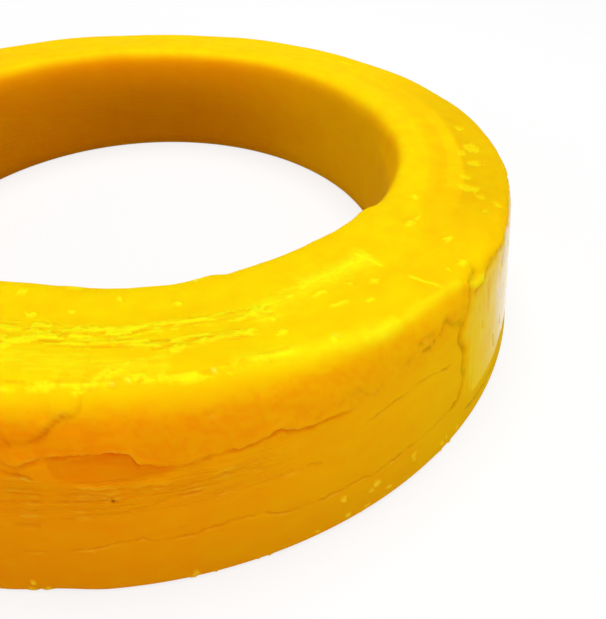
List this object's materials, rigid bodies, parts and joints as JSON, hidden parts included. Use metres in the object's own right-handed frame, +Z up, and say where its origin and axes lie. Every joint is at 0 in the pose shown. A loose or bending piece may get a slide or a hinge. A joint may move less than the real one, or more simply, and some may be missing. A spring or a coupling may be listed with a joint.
{
  "type": "toilet pan seal",
  "caption": "Soft wax ring with sloping walls and a round hole, squeezed between a toilet pan and its waste flange to seal the joint.",
  "frame": {"origin": "centre of the ring on its flat base", "axes": "+Z up along the axis of the ring, out of its narrower top; -Y towards the worn front of the ring"},
  "size_m": [0.1348, 0.1347, 0.025],
  "materials": {
    "wax": "soft translucent amber wax, greasy sheen with smears"
  },
  "bodies": {
    "root": {"wax_ring": "wax"}
  },
  "joints": []
}
